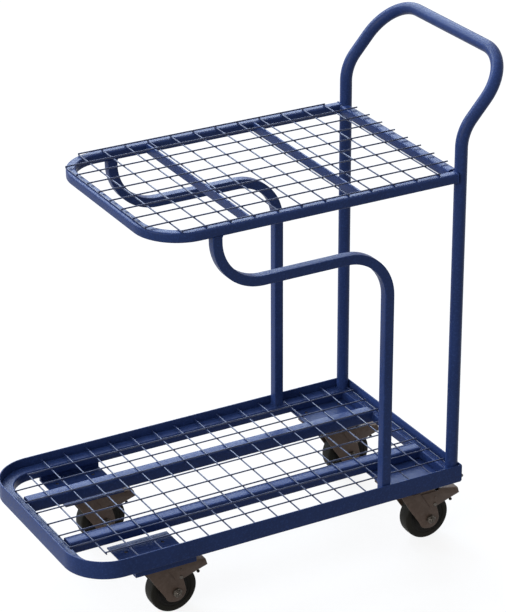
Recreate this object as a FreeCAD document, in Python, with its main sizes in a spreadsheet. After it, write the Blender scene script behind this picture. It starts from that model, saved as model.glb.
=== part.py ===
"""Order picking trolley: a rimmed base deck and an upper shelf of wire mesh on four braked swivel castors.

Millimetres, +X forward, +Z up, origin on the floor under the middle of the trolley.
"""
import FreeCAD, Part
import Sketcher
import math
import os
from types import SimpleNamespace

SIZES = {
    # Base deck
    "base_length": 842, "base_width": 460, "base_bottom": 148, "rim_height": 38, "rim_wall": 3,
    "rim_corner_radius": 88, "ledge_width": 27, "ledge_height": 20, "rear_tube_width": 19,
    "bar_spacing": 185, "bar_width": 30, "bar_height": 25.5, "tube_wall": 1.5, "section_corner": 3,
    # Wire mesh panels
    "wire_diameter": 3, "base_mesh_front": 21.8, "base_mesh_rear": 13.8, "base_mesh_side": 53.7,
    "base_wire_gap": 0.3, "shelf_mesh_front": 7.7, "shelf_mesh_rear": 50.5, "shelf_mesh_side": 9.3,
    "shelf_wire_gap": 5.6, "wire_tail": 3,
    # Handle tube: both uprights, the leaning top and the grip
    "handle_diameter": 25, "handle_bend_height": 866.5, "handle_bend_radius": 84, "handle_lean": 41.3,
    "handle_straight": 45, "handle_corner_radius": 91,
    # Shelf and the stay tubes that carry it
    "frame_tube": 20, "shelf_length": 658.2, "shelf_side_inset": 4.4, "shelf_top": 819.6,
    "shelf_corner_radius": 92, "rib_thickness": 4, "stay_setback": 176, "stay_reach": 372,
    "stay_run_height": 692, "stay_bend_radius": 96,
    # Castor mounting
    "castor_height": 131, "castor_side_setback": 74.2, "castor_front_setback": 178.4,
    "castor_rear_setback": 81.5, "mount_plate_side": 130, "mount_plate_width": 126,
    "mount_plate_thickness": 3, "riser_length": 130, "riser_width": 8,
    "top_plate_length": 105, "top_plate_width": 85, "top_plate_thickness": 3.5,
    "bolt_pitch_length": 80, "bolt_pitch_width": 60, "bolt_diameter": 8, "bolt_head_across": 13,
    "bolt_sink": 1, "bolt_nut_height": 5, "bolt_tail": 1.5, "hole_clearance": 0.25,
    # Castor swivel and fork
    "castor_trail": 39.5, "crown_thickness": 4, "crown_radius": 33, "bearing_height": 8,
    "bearing_radius": 29,
    "king_pin_radius": 6, "king_pin_head_radius": 10, "king_pin_head_height": 3,
    "fork_leg_thickness": 3, "fork_end_radius": 21, "fork_rake": 32, "fork_rear_top": 10,
    # Wheel and axle
    "wheel_diameter": 100, "wheel_width": 30, "tread_chamfer": 2.5, "tyre_depth": 13, "hub_width": 47,
    "hub_boss_radius": 17, "hub_web": 24, "hub_rim_depth": 5, "hub_rim_width": 27, "bush_wall": 2.5,
    "axle_radius": 5, "axle_head_across": 17, "axle_head_height": 6.5, "axle_nut_height": 8,
    "axle_tail": 1.5,
    # Brake pedal
    "pedal_sheet": 2, "pedal_slope": 11, "pedal_pivot_back": 8.5, "pedal_pivot_height": 82.5,
    "pedal_top": 112.4, "pedal_step": 3.4, "pedal_front": 23.6, "pedal_web_back": 15, "pedal_length": 67,
    "pedal_lip": 13, "pedal_skirt": 6, "pedal_skirt_front": 1, "pedal_skirt_back": 13.5,
    "rivet_radius": 3, "rivet_head_radius": 5, "rivet_head_height": 1.8,
    "shoe_length": 16, "shoe_width": 24, "shoe_back": 38, "shoe_gap": 3.6,
    # Clearances
    "fit_gap": 0.3, "running_clearance": 0.05, "cut_overrun": 5,
}

RIB_SHARES = (0.304, 0.666)
BASE_CROSS_WIRES, BASE_LONG_WIRES = 17, 8
SHELF_CROSS_WIRES, SHELF_LONG_WIRES = 13, 10

doc = FreeCAD.newDocument("order_picking_trolley")
sheet = doc.addObject("Spreadsheet::Sheet", "Sizes")
for row, (alias, number) in enumerate(SIZES.items(), start=1):
    sheet.set("A%d" % row, alias)
    sheet.set("B%d" % row, str(number))
    sheet.setAlias("B%d" % row, alias)
doc.recompute()


class Size:
    """A length or angle that carries its present value and its formula over the sheet."""

    def __init__(self, text, value):
        self.text = text
        self.value = value

    def joined(self, mark, other, value):
        text = other.text if isinstance(other, Size) else repr(other)
        return Size("(%s %s %s)" % (self.text, mark, text), value)

    def __add__(self, other):
        return self.joined("+", other, self.value + plain(other))

    def __sub__(self, other):
        return self.joined("-", other, self.value - plain(other))

    def __mul__(self, other):
        return self.joined("*", other, self.value * plain(other))

    def __truediv__(self, other):
        return self.joined("/", other, self.value / plain(other))

    def __neg__(self):
        return Size("(-%s)" % self.text, -self.value)


def plain(size):
    return size.value if isinstance(size, Size) else size


def sine(angle):
    return Size("sin(%s)" % angle.text, math.sin(math.radians(angle.value)))


def cosine(angle):
    return Size("cos(%s)" % angle.text, math.cos(math.radians(angle.value)))


def tangent(angle):
    return Size("tan(%s)" % angle.text, math.tan(math.radians(angle.value)))


def square_root(size):
    return Size("sqrt(%s)" % size.text, math.sqrt(size.value))


s = SimpleNamespace(**{alias: Size("Sizes." + alias, sheet.get(alias)) for alias in SIZES})

# Heights and places that follow from the sizes
handle_reach = s.handle_bend_radius - s.handle_bend_radius * cosine(s.handle_lean)
handle_reach = handle_reach + (s.handle_straight + s.handle_corner_radius) * sine(s.handle_lean)
base_front = (s.base_length + handle_reach - s.rim_wall - s.fit_gap) / 2
base_rear = base_front - s.base_length
rear_inner = base_rear + s.rim_wall
base_side = s.base_width / 2
ledge_y = base_side - s.rim_wall - s.ledge_width / 2
ledge_inner = base_side - s.rim_wall - s.ledge_width
ledge_top = s.base_bottom + s.ledge_height
bar_top = s.base_bottom + s.bar_height
upright_x = rear_inner + s.fit_gap + s.handle_diameter / 2
shelf_bottom = s.shelf_top - s.frame_tube
shelf_front = upright_x + s.shelf_length
shelf_width = s.base_width - s.shelf_side_inset * 2
shelf_side = shelf_width / 2
shelf_tube_y = shelf_side - s.frame_tube / 2
shelf_inner = shelf_side - s.frame_tube
stay_rear = base_rear + s.stay_setback
stay_front = stay_rear + s.stay_reach
mount_plate_top = s.castor_height + s.mount_plate_thickness
rear_plate_bottom = s.base_bottom - s.mount_plate_thickness
top_plate_bottom = s.castor_height - s.top_plate_thickness
crown_top = top_plate_bottom - s.bearing_height
crown_bottom = crown_top - s.crown_thickness
axle_height = s.wheel_diameter / 2
axle_x = -s.castor_trail
fork_inner = s.hub_width / 2 + s.fit_gap
fork_outer = fork_inner + s.fork_leg_thickness
pedal_inner = fork_outer + s.fit_gap
pedal_outer = pedal_inner + s.pedal_sheet
pivot_x = axle_x - s.pedal_pivot_back
castor_track = s.base_width - s.castor_side_setback * 2

Z_TO_Y = FreeCAD.Rotation(FreeCAD.Vector(1, 0, 0), -90)
Z_TO_MINUS_Y = FreeCAD.Rotation(FreeCAD.Vector(1, 0, 0), 90)
Z_TO_X = FreeCAD.Rotation(FreeCAD.Vector(0, 1, 0), 90)
nodes = []


def bind(piece, **sizes):
    """Tie properties of a piece to formulas over the sheet."""
    for name, size in sizes.items():
        piece.setExpression(name, size.text)


def place(piece, x=0, y=0, z=0, turn=None):
    """Turn a piece and tie its position to formulas over the sheet."""
    if turn:
        piece.Placement.Rotation = turn
    for axis, size in (("x", x), ("y", y), ("z", z)):
        if isinstance(size, Size):
            piece.setExpression(".Placement.Base." + axis, size.text)
    return piece


def box(name, length, width, height, x=0, y=0, z=0):
    """A block centred on x and y, standing on z."""
    piece = doc.addObject("Part::Box", name)
    bind(piece, Length=length, Width=width, Height=height)
    return place(piece, -length / 2 + x, -width / 2 + y, z)


def rod(name, radius, length, x=0, y=0, z=0, turn=None):
    """A round bar that starts at its place and runs along its own Z axis."""
    piece = doc.addObject("Part::Cylinder", name)
    bind(piece, Radius=radius, Height=length)
    return place(piece, x, y, z, turn)


def hexagon(name, across, height, x=0, y=0, z=0, turn=None):
    """A hexagonal block, measured across its flats."""
    piece = doc.addObject("Part::Prism", name)
    piece.Polygon = 6
    bind(piece, Circumradius=across / 2 / math.cos(math.pi / 6), Height=height)
    return place(piece, x, y, z, turn)


def cut(name, base, *tools):
    """The base with the tools taken out of it."""
    piece = doc.addObject("Part::Cut", name)
    piece.Base = base
    piece.Tool = tools[0] if len(tools) == 1 else fuse(name + "_tools", *tools)
    return piece


def fuse(name, *pieces):
    piece = doc.addObject("Part::MultiFuse", name)
    piece.Shapes = list(pieces)
    return piece


def group(name, *pieces):
    """Separate solids kept together, or one piece set down again at another place."""
    piece = doc.addObject("Part::Compound", name)
    piece.Links = list(pieces)
    return piece


def node(name, piece):
    """Give a finished sub-part its own name."""
    piece.Label = name
    nodes.append(piece)
    return piece


def rounded_path(name, corners, radii):
    """A wire of straight runs through the corners, with a tangent arc at each inner corner."""
    points = [FreeCAD.Vector(*(plain(size) for size in corner)) for corner in corners]
    edges = []
    start = points[0]
    for before, corner, after, radius in zip(points, points[1:], points[2:], radii):
        back = (before - corner).normalize()
        ahead = (after - corner).normalize()
        half = back.getAngle(ahead) / 2
        bisector = (back + ahead).normalize()
        entry = corner + back * (radius.value / math.tan(half))
        leave = corner + ahead * (radius.value / math.tan(half))
        middle = corner + bisector * (radius.value / math.sin(half) - radius.value)
        edges.append(Part.LineSegment(start, entry).toShape())
        edges.append(Part.Arc(entry, middle, leave).toShape())
        start = leave
    edges.append(Part.LineSegment(start, points[-1]).toShape())
    path = doc.addObject("Part::Feature", name)
    path.Shape = Part.Wire(edges)
    return path


def sweep(name, section, path):
    piece = doc.addObject("Part::Sweep", name)
    piece.Sections = [section]
    piece.Spine = (path, ["Edge%d" % (index + 1) for index in range(len(path.Shape.Edges))])
    piece.Solid = True
    return piece


def round_tube(name, diameter, path, at):
    """A round tube along a path that starts upwards."""
    sections = []
    for part, radius in (("outer", diameter / 2), ("bore", diameter / 2 - s.tube_wall)):
        circle = doc.addObject("Part::Circle", name + "_" + part + "_section")
        bind(circle, Radius=radius)
        sections.append(place(circle, *at))
    return cut(name, *(sweep(section.Name + "_sweep", section, path) for section in sections))


def square_tube(name, width, height, path, at, turn=None):
    """A rectangular tube with rounded edges along a path, its section centred on the path's start."""
    core = doc.addObject("Part::Plane", name + "_core")
    bind(core, Length=width - s.section_corner * 2, Width=height - s.section_corner * 2)
    place(core, *at, turn=turn)
    sections = []
    for part, value in (("outer", s.section_corner), ("bore", s.section_corner - s.tube_wall)):
        section = doc.addObject("Part::Offset2D", name + "_" + part + "_section")
        section.Source = core
        section.Mode = "Skin"
        section.Join = "Arc"
        bind(section, Value=value)
        sections.append(section)
    return cut(name, *(sweep(section.Name + "_sweep", section, path) for section in sections))


def u_corners(rear, front, half_width, height):
    """The corners of a U that opens to the rear."""
    return [(rear, -half_width, height), (front, -half_width, height),
            (front, half_width, height), (rear, half_width, height)]


def outline(body, name, role, corners):
    """A closed sketch on an origin plane, each corner held by its two distances from the origin."""
    sketch = body.newObject("Sketcher::SketchObject", name)
    plane = next(feature for feature in body.Origin.OriginFeatures if feature.Role == role)
    sketch.AttachmentSupport = [(plane, "")]
    sketch.MapMode = "FlatFace"
    points = [FreeCAD.Vector(across.value, up.value, 0) for across, up in corners]
    for start, end in zip(points, points[1:] + points[:1]):
        sketch.addGeometry(Part.LineSegment(start, end), False)
    for line in range(len(points)):
        sketch.addConstraint(Sketcher.Constraint("Coincident", line, 2, (line + 1) % len(points), 1))
    for line, corner in enumerate(corners):
        for kind, size in zip(("DistanceX", "DistanceY"), corner):
            index = sketch.addConstraint(Sketcher.Constraint(kind, -1, 1, line, 1, size.value))
            sketch.setExpression("Constraints[%d]" % index, size.text)
    return sketch


def padded(name, corners, width):
    """A plate cut to an outline in the XZ plane, as wide either side of that plane."""
    body = doc.addObject("PartDesign::Body", name)
    pad = body.newObject("PartDesign::Pad", name + "_pad")
    pad.Profile = outline(body, name + "_outline", "XZ_Plane", corners)
    pad.SideType = "Symmetric"
    bind(pad, Length=width)
    return body


def turned(name, corners):
    """A ring turned about the Y axis from an outline of radius and width."""
    body = doc.addObject("PartDesign::Body", name)
    ring = body.newObject("PartDesign::Revolution", name + "_turn")
    sketch = outline(body, name + "_outline", "XY_Plane", corners)
    ring.Profile = sketch
    ring.ReferenceAxis = (sketch, ["V_Axis"])
    return body


def mirrored_profile(half):
    """A turned outline from its corners on the +Y side, mirrored to the other side."""
    return half + [(radius, -side) for radius, side in reversed(half)]


# Base deck
def make_rim_band():
    mid_side = base_side - s.rim_wall / 2
    corners = u_corners(rear_inner, base_front - s.rim_wall / 2, mid_side, s.base_bottom + s.rim_height / 2)
    path = rounded_path("rim_path", corners, [s.rim_corner_radius - s.rim_wall / 2] * 2)
    section = doc.addObject("Part::Plane", "rim_section")
    bind(section, Length=s.rim_height, Width=s.rim_wall)
    place(section, rear_inner, -base_side, s.base_bottom + s.rim_height, Z_TO_X)
    node("rim_band", sweep("rim_band", section, path))


def make_ledge_tube():
    height = s.base_bottom + s.ledge_height / 2
    corners = u_corners(rear_inner, base_front - s.rim_wall - s.ledge_width / 2, ledge_y, height)
    radius = s.rim_corner_radius - s.rim_wall - s.ledge_width / 2
    path = rounded_path("ledge_path", corners, [radius] * 2)
    at = (rear_inner, -ledge_y - s.ledge_width / 2 + s.section_corner, ledge_top - s.section_corner)
    tube = square_tube("ledge_tube", s.ledge_height, s.ledge_width, path, at, Z_TO_X)
    node("ledge_tube", tube)


def hollow_bar(name, along_x, length, width, height, x, y, z):
    """A straight rectangular tube along X or Y, open at both ends."""
    bore_width = width - s.tube_wall * 2
    bore_height = height - s.tube_wall * 2
    bore_length = length + s.cut_overrun * 2
    if along_x:
        outer = box(name + "_outer", length, width, height, x, y, z)
        bore = box(name + "_bore", bore_length, bore_width, bore_height, x, y, z + s.tube_wall)
    else:
        outer = box(name + "_outer", width, length, height, x, y, z)
        bore = box(name + "_bore", bore_width, bore_length, bore_height, x, y, z + s.tube_wall)
    return cut(name, outer, bore)


def make_rear_cross_member():
    upstand = box("rear_upstand", s.rim_wall, s.base_width, s.rim_height, base_rear + s.rim_wall / 2,
                  z=s.base_bottom)
    tube = hollow_bar("rear_tube", False, ledge_inner * 2, s.rear_tube_width, s.ledge_height,
                      rear_inner + s.rear_tube_width / 2, 0, s.base_bottom)
    node("rear_cross_member", fuse("rear_cross_member", upstand, tube))


def make_base_bars():
    front = base_front - s.rim_wall - s.ledge_width
    rear = rear_inner + s.rear_tube_width
    for name, side in (("left", s.bar_spacing / 2), ("right", -s.bar_spacing / 2)):
        bar = hollow_bar(name + "_base_bar", True, front - rear, s.bar_width, s.bar_height,
                         (front + rear) / 2, side, s.base_bottom)
        node(name + "_base_bar", bar)


# Wire mesh panels
def wire_along_y(name, x, half_length, z):
    return rod(name, s.wire_diameter / 2, half_length * 2, x, -half_length, z, Z_TO_Y)


def wire_along_x(name, rear, front, y, z):
    return rod(name, s.wire_diameter / 2, front - rear, rear, y, z, Z_TO_X)


def make_base_mesh():
    """Cross wires rest on the base bars, and the lengthwise wires are welded on top of them."""
    first = base_front - s.base_mesh_front
    last = base_rear + s.base_mesh_rear
    pitch = (first - last) / (BASE_CROSS_WIRES - 1)
    long_side = base_side - s.base_mesh_side
    long_pitch = long_side * 2 / (BASE_LONG_WIRES - 1)
    cross_height = bar_top + s.wire_diameter / 2
    long_height = cross_height + s.wire_diameter
    full_reach = base_side - s.rim_wall - s.base_wire_gap
    upright_reach = ledge_y - s.handle_diameter / 2 - s.wire_tail
    stay_reach = shelf_inner - s.fit_gap
    wires = []
    for index in range(BASE_CROSS_WIRES):
        x = first - pitch * index
        reach = full_reach
        if index == 0:
            reach = long_side - long_pitch + s.wire_tail
        elif index == 1:
            reach = long_side + s.wire_tail
        elif index == BASE_CROSS_WIRES - 1:
            reach = upright_reach
        elif abs((x - stay_rear).value) < ((s.frame_tube + s.wire_diameter) / 2 + s.fit_gap).value:
            reach = stay_reach
        wires.append(wire_along_y("base_cross_wire_%d" % index, x, reach, cross_height))
    for index in range(BASE_LONG_WIRES):
        outermost = index in (0, BASE_LONG_WIRES - 1)
        front = first - pitch if outermost else first
        y = long_pitch * index - long_side
        wires.append(wire_along_x("base_long_wire_%d" % index, last - s.wire_tail, front + s.wire_tail, y,
                                  long_height))
    node("base_mesh", group("base_mesh", *wires))


def make_shelf_mesh():
    """Cross wires rest on the shelf's tubes, and the lengthwise wires are welded on top of them."""
    first = shelf_front - s.shelf_mesh_front
    last = upright_x + s.shelf_mesh_rear
    pitch = (first - last) / (SHELF_CROSS_WIRES - 1)
    long_side = shelf_side - s.shelf_mesh_side
    long_pitch = long_side * 2 / (SHELF_LONG_WIRES - 1)
    cross_height = s.shelf_top + s.wire_diameter / 2
    long_height = cross_height + s.wire_diameter
    wires = []
    for index in range(SHELF_CROSS_WIRES):
        reach = long_side - long_pitch + s.wire_diameter / 2 if index == 0 else shelf_side - s.shelf_wire_gap
        wires.append(wire_along_y("shelf_cross_wire_%d" % index, first - pitch * index, reach, cross_height))
    for index in range(SHELF_LONG_WIRES):
        outermost = index in (0, SHELF_LONG_WIRES - 1)
        front = first - pitch if outermost else first
        rear = last - s.wire_tail if outermost else upright_x
        y = long_pitch * index - long_side
        wires.append(wire_along_x("shelf_long_wire_%d" % index, rear, front + s.wire_diameter / 2, y,
                                  long_height))
    node("shelf_mesh", group("shelf_mesh", *wires))


# Handle, stays and shelf
def make_handle():
    """One tube: up from the ledge, bent back to lean, then across as the grip and down again."""
    bend = s.handle_bend_radius * tangent(s.handle_lean / 2)
    slant = bend + s.handle_straight + s.handle_corner_radius
    knee = s.handle_bend_height + bend
    grip_x = upright_x - slant * sine(s.handle_lean)
    grip_z = knee + slant * cosine(s.handle_lean)
    corners = [(upright_x, -ledge_y, ledge_top), (upright_x, -ledge_y, knee), (grip_x, -ledge_y, grip_z),
               (grip_x, ledge_y, grip_z), (upright_x, ledge_y, knee), (upright_x, ledge_y, ledge_top)]
    radii = [s.handle_bend_radius, s.handle_corner_radius, s.handle_corner_radius, s.handle_bend_radius]
    path = rounded_path("handle_path", corners, radii)
    node("handle_tube", round_tube("handle_tube", s.handle_diameter, path, corners[0]))


def make_stays():
    """Each stay rises from the ledge, runs forward at mid height and rises again to the shelf."""
    for name, y in (("left", shelf_tube_y), ("right", -shelf_tube_y)):
        corners = [(stay_rear, y, ledge_top), (stay_rear, y, s.stay_run_height),
                   (stay_front, y, s.stay_run_height), (stay_front, y, shelf_bottom)]
        path = rounded_path(name + "_stay_path", corners, [s.stay_bend_radius] * 2)
        inset = s.frame_tube / 2 - s.section_corner
        at = (stay_rear - inset, y - inset, ledge_top)
        tube = square_tube(name + "_stay_tube", s.frame_tube, s.frame_tube, path, at)
        node(name + "_stay_tube", tube)


def make_shelf_frame():
    rear = upright_x + s.handle_diameter / 2 + s.fit_gap
    corners = u_corners(rear, shelf_front - s.frame_tube / 2, shelf_tube_y, s.shelf_top - s.frame_tube / 2)
    path = rounded_path("shelf_path", corners, [s.shelf_corner_radius - s.frame_tube / 2] * 2)
    at = (rear, -shelf_side + s.section_corner, s.shelf_top - s.section_corner)
    tube = square_tube("shelf_frame_tube", s.frame_tube, s.frame_tube, path, at, Z_TO_X)
    node("shelf_frame_tube", tube)


def make_shelf_rear_rail():
    half_length = ledge_y - s.handle_diameter / 2 - s.fit_gap
    corners = [(upright_x + s.frame_tube / 2, -half_length, s.shelf_top - s.frame_tube / 2),
               (upright_x + s.frame_tube / 2, half_length, s.shelf_top - s.frame_tube / 2)]
    path = rounded_path("shelf_rail_path", corners, [])
    at = (upright_x + s.section_corner, -half_length, s.shelf_top - s.section_corner)
    rail = square_tube("shelf_rear_rail", s.frame_tube, s.frame_tube, path, at, Z_TO_Y)
    node("shelf_rear_rail", rail)


def make_shelf_ribs():
    for name, share in zip(("front", "rear"), RIB_SHARES):
        x = shelf_front - s.shelf_length * share - s.rib_thickness / 2
        rib = box("shelf_%s_rib" % name, s.rib_thickness, shelf_inner * 2, s.frame_tube, x, 0, shelf_bottom)
        node("shelf_%s_rib" % name, rib)


# Castors, drawn round the point of the floor under the king pin
def bolt_places():
    half_length = s.bolt_pitch_length / 2
    half_width = s.bolt_pitch_width / 2
    return [(x, y) for x in (half_length, -half_length) for y in (half_width, -half_width)]


def bolt_holes(name, bottom, thickness, clearance=s.hole_clearance):
    """Holes for the castor bolts through a plate."""
    radius = s.bolt_diameter / 2 + clearance
    length = thickness + s.cut_overrun * 2
    return [rod("%s_hole_%d" % (name, index), radius, length, x, y, bottom - s.cut_overrun)
            for index, (x, y) in enumerate(bolt_places())]


def make_mount_plate():
    """The castor bolts are welded into this plate, so they fill its holes."""
    plate = box("mount_plate_blank", s.mount_plate_side, s.mount_plate_width, s.mount_plate_thickness,
                z=s.castor_height)
    holes = bolt_holes("mount_plate", s.castor_height, s.mount_plate_thickness, 0)
    return cut("mount_plate", plate, *holes)


def make_rear_riser():
    """A block the size of the castor's top plate, between it and the plate flush under the base."""
    height = rear_plate_bottom - s.castor_height
    block = box("rear_riser_block", s.top_plate_length, s.top_plate_width, height, z=s.castor_height)
    return cut("rear_riser", block, *bolt_holes("rear_riser", s.castor_height, height))


def make_top_plate():
    plate = box("top_plate_blank", s.top_plate_length, s.top_plate_width, s.top_plate_thickness,
                z=top_plate_bottom)
    pin_hole = rod("top_plate_pin_hole", s.king_pin_radius, s.top_plate_thickness + s.cut_overrun * 2, 0, 0,
                   top_plate_bottom - s.cut_overrun)
    holes = bolt_holes("top_plate", top_plate_bottom, s.top_plate_thickness)
    return cut("top_plate", plate, pin_hole, *holes)


def make_king_pin():
    """The pin hangs from the top plate and its head keeps the fork's crown up."""
    head_top = crown_bottom - s.fit_gap
    shank = rod("king_pin_shank", s.king_pin_radius, s.castor_height - head_top, 0, 0, head_top)
    head = rod("king_pin_head", s.king_pin_head_radius, s.king_pin_head_height, 0, 0,
               head_top - s.king_pin_head_height)
    return fuse("king_pin", shank, head)


def make_swivel_bearing():
    height = s.bearing_height - s.fit_gap
    ring = rod("bearing_ring", s.bearing_radius, height, 0, 0, crown_top + s.fit_gap)
    hole = rod("bearing_hole", s.king_pin_radius, height + s.cut_overrun * 2, 0, 0,
               crown_top - s.cut_overrun)
    return cut("swivel_bearing", ring, hole)


def make_castor_bolts(name, plate_top):
    """Headless bolts that end a little below the top of the mounting plate and hang down to their nuts."""
    bottom = top_plate_bottom - s.bolt_nut_height - s.bolt_tail
    length = plate_top - s.bolt_sink - bottom
    bolts = [rod("%s_castor_bolt_%d" % (name, index), s.bolt_diameter / 2, length, x, y, bottom)
             for index, (x, y) in enumerate(bolt_places())]
    return group(name + "_castor_bolt_set", *bolts)


def make_castor_nuts():
    nuts = []
    nut_bottom = top_plate_bottom - s.bolt_nut_height
    for index, (x, y) in enumerate(bolt_places()):
        block = hexagon("castor_nut_block_%d" % index, s.bolt_head_across, s.bolt_nut_height, x, y,
                        nut_bottom)
        bore = rod("castor_nut_bore_%d" % index, s.bolt_diameter / 2, s.bolt_nut_height + s.cut_overrun * 2,
                   x, y, nut_bottom - s.cut_overrun)
        nuts.append(cut("castor_nut_%d" % index, block, bore))
    return group("castor_nut_set", *nuts)


def cross_bore(name, radius, half_length, x, z):
    """A hole along Y through both sides of a piece."""
    reach = half_length + s.cut_overrun
    return rod(name, radius, reach * 2, x, -reach, z, Z_TO_Y)


def make_fork():
    """Two raked legs under a round crown, bent from one sheet."""
    toe_x = axle_x + s.fork_end_radius * cosine(s.fork_rake)
    toe_z = axle_height - s.fork_end_radius * sine(s.fork_rake)
    corners = [(toe_x, toe_z), (toe_x + (crown_top - toe_z) * tangent(s.fork_rake), crown_top),
               (axle_x - s.fork_rear_top, crown_top), (axle_x - s.fork_end_radius, axle_height)]
    legs = padded("fork_legs", corners, fork_outer * 2)
    ends = rod("fork_ends", s.fork_end_radius, fork_outer * 2, axle_x, -fork_outer, axle_height, Z_TO_Y)
    crown = rod("fork_crown", s.crown_radius, s.crown_thickness, 0, 0, crown_bottom)
    length = (s.castor_trail + s.crown_radius) * 2
    space = box("fork_space", length, fork_inner * 2, crown_bottom, axle_x)
    pin_bore = rod("fork_pin_bore", s.king_pin_radius + s.running_clearance,
                   s.crown_thickness + s.cut_overrun * 2, 0, 0, crown_bottom - s.cut_overrun)
    axle_bore = cross_bore("fork_axle_bore", s.axle_radius, fork_outer, axle_x, axle_height)
    rivet_bore = cross_bore("fork_rivet_bore", s.rivet_radius, fork_outer, pivot_x, s.pedal_pivot_height)
    solid = fuse("fork_solid", legs, ends, crown)
    return cut("fork", solid, space, pin_bore, axle_bore, rivet_bore)


def make_axle_bolt():
    """The head bears on the inner leg and the thread carries the nut on the other leg."""
    tail = fork_outer + s.axle_nut_height + s.axle_tail
    shank = rod("axle_shank", s.axle_radius, fork_outer + tail, axle_x, -fork_outer, axle_height, Z_TO_Y)
    head = hexagon("axle_head", s.axle_head_across, s.axle_head_height, axle_x, -fork_outer, axle_height,
                   Z_TO_MINUS_Y)
    return fuse("axle_bolt", shank, head)


def make_axle_nut():
    block = hexagon("axle_nut_block", s.axle_head_across, s.axle_nut_height, axle_x, fork_outer, axle_height,
                    Z_TO_Y)
    bore = cross_bore("axle_nut_bore", s.axle_radius, fork_outer + s.axle_nut_height, axle_x, axle_height)
    return cut("axle_nut", block, bore)


def make_pedal_rivets():
    """A short headed rivet through each fork leg carries the pedal."""
    rivets = []
    for name, sign, turn in (("left", 1, Z_TO_Y), ("right", -1, Z_TO_MINUS_Y)):
        length = pedal_outer + s.fit_gap - fork_inner
        shank = rod(name + "_rivet_shank", s.rivet_radius, length, pivot_x, fork_inner * sign,
                    s.pedal_pivot_height, turn)
        head = rod(name + "_rivet_head", s.rivet_head_radius, s.rivet_head_height, pivot_x,
                   (pedal_outer + s.fit_gap) * sign, s.pedal_pivot_height, turn)
        rivets.append(fuse(name + "_rivet", shank, head))
    return group("pedal_rivet_pair", *rivets)


def make_tyre():
    radius = s.wheel_diameter / 2
    half = s.wheel_width / 2
    return turned("tyre", mirrored_profile([(radius - s.tyre_depth, half), (radius - s.tread_chamfer, half),
                                            (radius, half - s.tread_chamfer)]))


def make_hub():
    rim = s.wheel_diameter / 2 - s.tyre_depth
    bore = s.axle_radius + s.running_clearance + s.bush_wall
    return turned("hub", mirrored_profile([(bore, s.hub_width / 2), (s.hub_boss_radius, s.hub_width / 2),
                                           (s.hub_boss_radius, s.hub_web / 2),
                                           (rim - s.hub_rim_depth, s.hub_web / 2),
                                           (rim - s.hub_rim_depth, s.hub_rim_width / 2),
                                           (rim, s.hub_rim_width / 2)]))


def make_bush():
    bore = s.axle_radius + s.running_clearance
    return turned("bush", mirrored_profile([(bore, s.hub_width / 2), (bore + s.bush_wall, s.hub_width / 2)]))


def pedal_web_drop(back):
    """How far the pedal's top has sloped down at a distance behind the axle."""
    return (back - s.pedal_web_back) * tangent(s.pedal_slope)


def make_pedal():
    """A folded channel over the fork: two side flanges, a sloping tread and a lip at its end."""
    step_top = s.pedal_top + s.pedal_step
    end_top = step_top - pedal_web_drop(s.pedal_length - s.pedal_sheet)
    end_x = axle_x - s.pedal_length
    skirt = s.pedal_pivot_height - s.pedal_skirt
    corners = [(axle_x + s.pedal_front, s.pedal_top), (axle_x - s.pedal_web_back, step_top),
               (end_x + s.pedal_sheet, end_top), (end_x, end_top - s.pedal_lip),
               (axle_x - s.pedal_skirt_back, skirt), (axle_x + s.pedal_skirt_front, skirt)]
    channel = padded("pedal_channel", corners, pedal_outer * 2)
    under = step_top - s.pedal_sheet / cosine(s.pedal_slope)
    lip_x = end_x + s.pedal_sheet * 2
    floor = end_top - s.pedal_lip - s.cut_overrun * 4
    front = axle_x + s.pedal_front + s.cut_overrun
    hollow_corners = [(front, step_top + s.cut_overrun),
                      (axle_x - s.pedal_web_back, step_top + s.cut_overrun),
                      (axle_x - s.pedal_web_back, under),
                      (lip_x, under - pedal_web_drop(s.pedal_length - s.pedal_sheet * 2)),
                      (lip_x, floor), (front, floor)]
    hollow = padded("pedal_hollow", hollow_corners, pedal_inner * 2)
    bore = cross_bore("pedal_bore", s.rivet_radius + s.running_clearance, pedal_outer, pivot_x,
                      s.pedal_pivot_height)
    return cut("brake_pedal", channel, hollow, bore)


def make_brake_shoe():
    """A block under the pedal's tread, hollowed to the wheel with the brake's free gap."""
    under = s.pedal_top + s.pedal_step - s.pedal_sheet / cosine(s.pedal_slope)
    reach = s.wheel_diameter / 2 + s.shoe_gap
    front = s.shoe_back - s.shoe_length
    arc_height = square_root(reach * reach - front * front)
    corners = [(axle_x - front, under - pedal_web_drop(front)),
               (axle_x - s.shoe_back, under - pedal_web_drop(s.shoe_back)),
               (axle_x - s.shoe_back, axle_height), (axle_x - front, axle_height + arc_height / 2)]
    block = padded("shoe_block", corners, s.shoe_width)
    tread = cross_bore("shoe_tread", reach, s.shoe_width / 2, axle_x, axle_height)
    return cut("brake_shoe", block, tread)


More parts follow.
